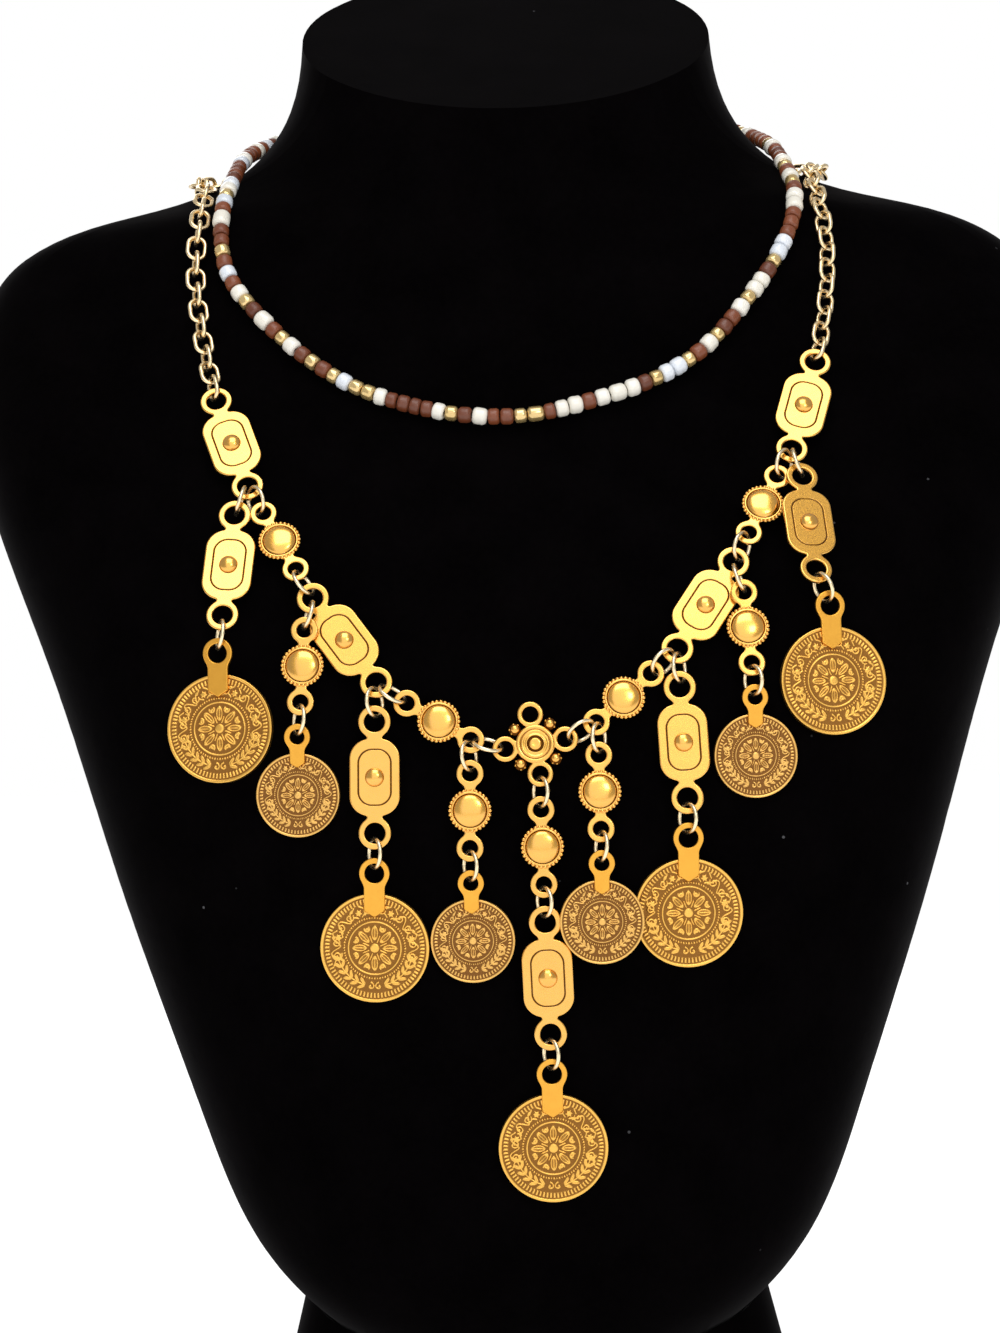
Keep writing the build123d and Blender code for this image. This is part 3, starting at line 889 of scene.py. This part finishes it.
def rosette_lines(angle):
    """A pair of curls and a stalk between two petals."""
    eye = polar(curl_reach, angle)
    lines = [scroll(eye, curl_size, angle + side * curl_lean, 1.0, side) for side in (-1, 1)]
    lines.append([polar(reach, angle) for reach in STALK])
    return lines


def spray_lines(side):
    """The stem of a spray of leaves, and the scroll at its foot."""
    foot = radians(270)
    turns = [radians(stem_start + stem_sweep * share) for share in shares(40)]
    stem = [polar(border_reach, foot + side * turn) for turn in turns]
    return [stem, scroll((side * foot_spread, -border_reach), foot_scroll, pi / 2, 1.0, side)]


def scroll_work():
    """Every line of the ornament: in the border, between the petals and along the sprays."""
    lines = []
    for degrees in SCROLL_ANGLES:
        lines += border_lines(radians(degrees))
    for number in range(petal_count):
        lines += rosette_lines(tau * (number + 0.5) / petal_count)
    for side in (-1, 1):
        lines += spray_lines(side)
    return lines


def line_distance(x, y, lines):
    """How far each point lies from the nearest of some lines."""
    spots = []
    for line in lines:
        for (ax, ay), (bx, by) in zip(line, line[1:]):
            count = max(1, int(hypot(bx - ax, by - ay) / line_spacing))
            spots += [(ax + (bx - ax) * i / count, ay + (by - ay) * i / count) for i in range(count)]
    tree = KDTree(len(spots))
    for number, (px, py) in enumerate(spots):
        tree.insert((px, py, 0), number)
    tree.balance()
    return np.array([tree.find((px, py, 0))[2] for px, py in zip(x, y)])


def oval_inside(x, y, middle, along, length, width):
    """How far inside a leaf or petal each point lies, and how far across it."""
    dx, dy = x - middle[0], y - middle[1]
    lengthwise = dx * cos(along) + dy * sin(along)
    across = dy * cos(along) - dx * sin(along)
    share = np.sqrt((lengthwise / length) ** 2 + (across / width) ** 2)
    return (1 - share) * width, np.abs(across)


def star_inside(x, y, middle, turn, size):
    """How far inside a six-pointed star, two triangles laid over each other, each point lies."""
    best = np.full_like(x, -size)
    for flip in (0, pi):
        inside = np.full_like(x, size)
        for corner in range(3):
            angle = turn + flip + pi / 3 + corner * tau / 3
            gap = size / 2 - (x - middle[0]) * cos(angle) - (y - middle[1]) * sin(angle)
            inside = np.minimum(inside, gap)
        best = np.maximum(best, inside)
    return best


def petal_height(x, y, way):
    """A petal of the rosette: a raised outline round a hollow with a vein."""
    inside, across = oval_inside(x, y, polar(petal_reach, way), way, petal_length, petal_width)
    hollow = petal_hollow * rounded(inside - petal_rim, petal_rim_shoulder)
    petal = rounded(inside, soft_shoulder) * (1 - hollow)
    vein = rounded(np.minimum(inside, petal_vein - across), petal_vein)
    return np.maximum(petal, vein)


def leaf_height(x, y, number, side, lean, reach):
    """A leaf of a spray, leaning away from its stem, with a sunk vein."""
    way = pi / 2 + side * radians(leaf_start + leaf_pitch * number)
    along = way + pi / 2 + side * radians(lean)
    inside, across = oval_inside(x, y, polar(reach, way), along, leaf_length, leaf_width)
    return rounded(inside, leaf_shoulder) * (1 - 0.5 * rounded(leaf_vein - across, leaf_vein))


def coin_height(x, y, denticles):
    """The coin's relief: rim, denticles, ring lines, dots, rosette, stars, leaf sprays and scrolls."""
    reach = np.hypot(x, y)
    angle = np.arctan2(y, x)

    def beat(count, turn=0.0):
        return ((angle / tau * count + turn + 0.5) % 1 - 0.5) * tau / count

    across = denticle_half_width - np.abs(beat(denticles)) * reach
    along = denticle_half_length - np.abs(reach - denticle_reach)
    forms = [
        rounded(reach - rim_start, soft_shoulder),
        rounded(np.minimum(across, along), crisp_shoulder),
        rounded(boss - reach, boss_shoulder),
    ]
    for middle, half_width, shoulder, top in RING_LINES:
        forms.append(top * rounded(half_width - np.abs(reach - middle), shoulder))
    for turn, size in DOTS:
        dot = size - np.hypot(beat(dot_count, turn) * reach, reach - dot_reach)
        forms.append(rounded(dot, size * 0.8))
    for number in range(petal_count):
        forms.append(petal_height(x, y, tau * number / petal_count))
    for degrees in STAR_ANGLES:
        way = radians(degrees)
        forms.append(rounded(star_inside(x, y, polar(border_reach, way), way, star_size), soft_shoulder))
    for lean, spray_reach in SPRAY_SIDES:
        for number in range(spray_leaves):
            for side in (-1, 1):
                forms.append(leaf_height(x, y, number, side, lean, spray_reach))
    forms.append(rounded(line_half_width - line_distance(x, y, scroll_work()), line_shoulder))
    return np.maximum.reduce(forms)


def coin_face(radius, denticles):
    """The points and faces of a coin's front, finer towards its rim, and the number of points on its rim."""
    rim_count = denticles * steps_per_denticle
    rows, reach = [], first_ring * radius
    while reach < radius - edge_round - 0.02:
        share = reach / radius
        part = 4 if share < quarter_rings else 2 if share < half_rings else 1
        rows.append((reach, rim_count // part))
        reach += ring_pitch
    rows.append((radius - edge_round, rim_count))
    points, faces = [(0.0, 0.0)], []
    starts = []
    for reach, count in rows:
        starts.append(len(points))
        points += spun(reach, count)
    first, count = starts[0], rows[0][1]
    faces += [(0, first + i, first + (i + 1) % count) for i in range(count)]
    for (inner, (_, few)), (outer, (_, many)) in zip(zip(starts, rows), zip(starts[1:], rows[1:])):
        for i in range(few):
            after = (i + 1) % few
            if few == many:
                faces.append((inner + i, outer + i, outer + after, inner + after))
            else:
                low, middle, high = outer + 2 * i, outer + 2 * i + 1, outer + (2 * i + 2) % many
                faces.append((inner + i, low, middle))
                faces.append((inner + i, middle, inner + after))
                faces.append((inner + after, middle, high))
    return np.array(points), faces, rim_count


def coin_tab(coin):
    """The bail and the tab that is soldered to a coin's face."""
    tab = Piece()

    def outline(point):
        x, y = abs(point[0]), point[1]
        end = (tab_slope * x - y - coin.tab_length) / hypot(tab_slope, 1)
        strap = max(x - coin.tab_width / 2, end, y)
        return joined(strap, circle(point, (0, 0), coin.bail / 2), tab_fillet)

    holes = [((0, 0), coin.hole / 2)]
    tab.fill(*tab.cut_sheet(outline, (0, coin.bail / 2), holes, edge=tab_edge, step=tab_step))
    bmesh.ops.recalc_face_normals(tab.mesh, faces=tab.mesh.faces)
    tab.mesh.verts.index_update()
    points = [tuple(vert.co) for vert in tab.mesh.verts]
    faces = [tuple(vert.index for vert in face.verts) for face in tab.mesh.faces]
    tab.mesh.free()
    return points, faces


def struck_blank(kind):
    """A struck coin in its own frame, with its relief, its edge, its back, and its bail and tab."""
    coin = COINS[kind]
    radius = coin.diameter / 2
    flat, faces, rim_count = coin_face(radius, coin.denticles)
    height = coin_height(flat[:, 0] / radius, flat[:, 1] / radius, coin.denticles)
    levels = face_level + coin_relief * height
    points = [(x, y - coin.bail_reach, level) for (x, y), level in zip(flat.tolist(), levels.tolist())]
    recess = (1 - height).tolist()
    front, back = face_level + coin_relief, face_level - coin.thickness
    edge = [
        (radius - 0.04, front - 0.04),
        (radius, front - edge_round),
        (radius, back + 0.16),
        (radius - 0.05, back + 0.05),
        (radius - 0.2, back),
        (radius - 1.0, back),
        (radius - 1.15, back + back_recess),
    ]
    before = len(points) - rim_count
    for reach, level in edge:
        now = len(points)
        points += [(x, y - coin.bail_reach, level) for x, y in spun(reach, rim_count)]
        for i in range(rim_count):
            after = (i + 1) % rim_count
            faces.append((before + i, now + i, now + after, before + after))
        recess += [0.0] * rim_count
        before = now
    points.append((0, -coin.bail_reach, back + back_recess))
    recess.append(back_darkness)
    faces += [(before + i, len(points) - 1, before + (i + 1) % rim_count) for i in range(rim_count)]

    coin_faces, offset = len(faces), len(points)
    tab_points, tab_faces = coin_tab(coin)
    points += tab_points
    recess += [0.0] * len(tab_points)
    faces += [tuple(offset + index for index in face) for face in tab_faces]
    data = bpy.data.meshes.new(f"{kind}_coin")
    data.from_pydata(points, [], faces)
    data.attributes.new("recess", "FLOAT", "POINT").data.foreach_set("value", recess)
    data.polygons.foreach_set("material_index", [int(i >= coin_faces) for i in range(len(faces))])
    data.polygons.foreach_set("use_smooth", [True] * len(faces))
    return data


# Where each piece lies, read from its CAD node


def axes(node):
    """A thin piece's middle, its long way, towards +Z, and the way its face looks, towards the front."""
    data = nodes[node].data
    data.calc_loop_triangles()
    places = np.array([vert.co for vert in data.vertices])
    corners = places[np.array([triangle.vertices for triangle in data.loop_triangles])]
    area = np.array([triangle.area for triangle in data.loop_triangles])
    middle = (corners.mean(axis=1) * area[:, None]).sum(axis=0) / area.sum()
    corners -= middle
    total = corners.sum(axis=1)
    spread = np.einsum("t,tci,tcj->ij", area, corners, corners)
    spread += np.einsum("t,ti,tj->ij", area, total, total)
    _, ways = np.linalg.eigh(spread)
    face, long = Vector(ways[:, 0]), Vector(ways[:, 2])
    face = -face if face.y > 0 else face
    long = -long if long.z < 0 else long
    return places, Vector(middle), long, face


def placed(places, middle, up, face, back, top=None):
    """The matrix of a piece from its directions, with its back, and its top where that is given."""
    offsets = places - np.array(middle)
    lowest = (offsets @ np.array(face)).min()
    origin = middle + face * (lowest + back * mm)
    if top is not None:
        origin += up * ((offsets @ np.array(up)).max() - top * mm)
    turn = Matrix((up.cross(face), up, face)).transposed().to_4x4()
    return Matrix.Translation(origin) @ turn


# Bead strand


def seat(velvet, chosen, height):
    """The point at a height off the velvet nearest to a chosen one, and the way out from the velvet."""
    near = velvet.find_nearest(chosen)[0]
    outward = (chosen - near).normalized()
    return near + outward * height * mm, outward


def curve_along(name, kind, places):
    """A curve of some kind along a row of points: its object, its data and its spline."""
    data = bpy.data.curves.new(name, "CURVE")
    data.dimensions = "3D"
    spline = data.splines.new(kind)
    spline.points.add(len(places) - 1)
    for point, place in zip(spline.points, places):
        point.co = (*place, 1)
    made = bpy.data.objects.new(name, data)
    bpy.context.scene.collection.objects.link(made)
    return made, data, spline


def strand_points():
    """The thread's line, from one end by the clasp round the front to the other."""
    velvet = BVHTree.FromObject(nodes["bust"], bpy.context.evaluated_depsgraph_get())
    clasp_middle, clasp_normal = seat(velvet, clasp_place, clasp_height)
    clasp_reach = clasp_radius - clasp_wire / 2 + strand_end_length - strand_end_overlap
    ends = []
    for angle in BEAD_CLASP_ANGLE:
        level = Vector((cos(radians(angle)), 0, sin(radians(angle))))
        way = (level - clasp_normal * level.dot(clasp_normal)).normalized()
        near = clasp_middle + way * clasp_reach * mm
        ends.append([near, near + way * clasp_lead * mm])
    run = [seat(velvet, Vector(point) * mm, bead_height)[0] for point in BEAD_ROUTE]
    line, data, spline = curve_along("strand_line", "NURBS", [*ends[0], *run, *reversed(ends[1])])
    data.resolution_u = 16
    spline.order_u = 3
    spline.use_endpoint_u = True
    bpy.context.view_layer.update()
    mesh = bpy.data.meshes.new_from_object(line.evaluated_get(bpy.context.evaluated_depsgraph_get()))
    points = [vert.co.copy() for vert in mesh.vertices]
    bpy.data.objects.remove(line)
    return points


def bead_rows(length, diameter):
    """The profile of a seed bead: a short tube with rounded shoulders. The rows are radius and level."""
    half, outer, shoulder = length / 2, diameter / 2, min(length, diameter) * bead_shoulder
    rows = [(bead_hole / 2, -half + bead_dish), (bead_hole / 2 + bead_lip, -half + 0.03)]
    for share in shares(5):
        angle = pi / 2 * share
        rows.append((outer - shoulder + shoulder * sin(angle), -half + shoulder - shoulder * cos(angle)))
    return rows + [(radius, -level) for radius, level in reversed(rows)]


def add_bead(mesh, tones, place, rows, tone):
    """One bead turned from its rows, in the mesh of its kind, with its tone on every point."""
    before = None
    for radius, level in rows:
        now = []
        for x, y in spun(radius, bead_sides):
            made = mesh.verts.new(place @ (Vector((x, y, level)) * mm))
            made[tones] = tone
            now.append(made)
        if before:
            for i in range(bead_sides):
                mesh.faces.new((before[i - 1], before[i], now[i], now[i - 1])).smooth = True
        before = now


def thread_beads(finishes, thread_material):
    """Every bead along the strand's line, the front ones in the order of the photograph, and the thread."""
    line = strand_points()
    places = np.array(line)
    gaps = [(after - before).length for before, after in zip(line, line[1:])]
    reach = np.array([0.0, *gaps]).cumsum()

    def mark(place):
        return reach[np.linalg.norm(places - np.array(place), axis=1).argmin()]

    def spot_at(distance):
        return Vector([np.interp(distance, reach, places[:, i]) for i in range(3)])

    chance = random.Random(7)
    left, right, last = mark(strand_left), mark(strand_right), reach[-1]
    front = mark(strand_front) + BEADS["H"].length * mm / 2
    hidden = []
    for way in (left, last - right):
        hidden.append([chance.choice(HIDDEN_BEADS) for _ in range(int(way / mm / hidden_bead_pitch))])
    stretches = (
        (hidden[0], 0.0, left),
        (LEFT_BEADS.split(), left, front),
        (RIGHT_BEADS.split(), front, right),
        (hidden[1], right, last),
    )
    meshes = {kind: bmesh.new() for kind in finishes}
    tones = {kind: mesh.verts.layers.float.new("tone") for kind, mesh in meshes.items()}
    for letters, start, end in stretches:
        beads = [BEADS[letter] for letter in letters]
        lengths = [bead.length * chance.uniform(*LENGTH_SPREAD) for bead in beads]
        scale = (end - start) / sum(lengths)
        spot = start
        for bead, length in zip(beads, lengths):
            room = length * scale
            middle = spot_at(spot + room / 2)
            way = (spot_at(spot + room) - spot_at(spot)).normalized()
            spot += room
            tilt = Vector([chance.uniform(-bead_tilt, bead_tilt) for _ in range(3)])
            turn = (way + tilt).normalized().to_track_quat("Z", "Y").to_matrix().to_4x4()
            tone = chance.random()
            rows = bead_rows(room / mm * bead_fill, bead.diameter * chance.uniform(*DIAMETER_SPREAD))
            add_bead(meshes[bead.finish], tones[bead.finish], Matrix.Translation(middle) @ turn, rows, tone)
    for kind, material in finishes.items():
        name, mesh = f"{kind}_beads", meshes[kind]
        bmesh.ops.recalc_face_normals(mesh, faces=mesh.faces)
        data = bpy.data.meshes.new(name)
        mesh.to_mesh(data)
        mesh.free()
        dress(name, data, Matrix.Scale(1 / mm, 4), [material], "bead_strand")
    thread, data, _ = curve_along("bead_thread", "POLY", line)
    data.bevel_depth = thread_radius * mm
    data.materials.append(thread_material)
    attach(thread, "root")
    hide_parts("bead_strand")


# The scene

photo_camera()
scene = bpy.context.scene
scene.view_settings.view_transform = "Standard"
world = bpy.data.worlds.new("studio")
world.use_nodes = True
studio = Nodes(world.node_tree, "Background", {"Color": (1, 1, 1, 1)})
seen = studio.node("ShaderNodeLightPath")
studio.feed("Strength", studio_glow + seen * (1 - studio_glow))
scene.world = world
for name, box in LIGHTS.items():
    soft_light(name, box)

bpy.ops.mesh.primitive_plane_add(size=floor_size)
floor = bpy.context.object
floor.name = "floor"
paper = Finish(
    "pale_paper",
    {"Roughness": 1.0, "Specular IOR Level": 0.0, "Emission Color": (1, 1, 1, 1), "Emission Strength": 0.78},
)
paper.feed("Base Color", paper.ramp(paper.noise(40, 2), (0.0, (0.48, 0.48, 0.48)), (1.0, (0.52, 0.52, 0.52))))
floor.data.materials.append(paper.material)

velvet_material = velvet_finish()
bright_gold = metal_finish(
    "bright_gold",
    Metal((0.89, 0.45, 0.043), (0.82, 0.385, 0.028), (0.13, 0.045, 0.007), 0.26),
    lacquer=0.9,
    **{"Coat IOR": 1.85, "Coat Roughness": 0.14},
)
golds = {name: metal_finish(name, metal) for name, metal in METALS.items()}

for material, names in (
    (velvet_material, ("bust", "bust_foot")),
    (golds["ring_gold"], ("left_jump_rings", "right_jump_rings", "centre_jump_rings")),
    (golds["chain_gold"], ("chain_left", "chain_right", "clasp", "strand_end_left", "strand_end_right")),
):
    for name in names:
        for slot in nodes[name].material_slots:
            slot.material = material

blanks = {kind: struck_blank(kind) for kind in COINS}
for name in sorted(nodes):
    if "plate" in name:
        plate(name, placed(*axes(name), sheet / 2), bright_gold)
    elif "round" in name:
        round_link(name, placed(*axes(name), sheet / 2), bright_gold)
    elif name.endswith("_coin"):
        kind = "large" if "centre" in name or "_2_" in name or "_4_" in name else "small"
        coin = COINS[kind]
        place = placed(*axes(name), coin.thickness - face_level, coin.bail / 2)
        materials = [golds[f"{kind}_coin_gold"], golds["tab_gold"]]
        dress(f"{name}_dressed", blanks[kind].copy(), place, materials, name)

places, middle, _, face = axes("hub")
upright = Vector((-sin(hub_lean), 0, cos(hub_lean)))
up = (upright - face * upright.dot(face)).normalized()
hub(placed(places, middle, up, face, hub_thickness / 2), bright_gold)

thread_beads(
    {name: bead_finish(f"{name}_glass", glass) for name, glass in GLASSES.items()},
    Finish("thread_black", {"Base Color": (0.02, 0.015, 0.012, 1), "Roughness": 0.7}).material,
)

for blank in blanks.values():
    bpy.data.meshes.remove(blank)
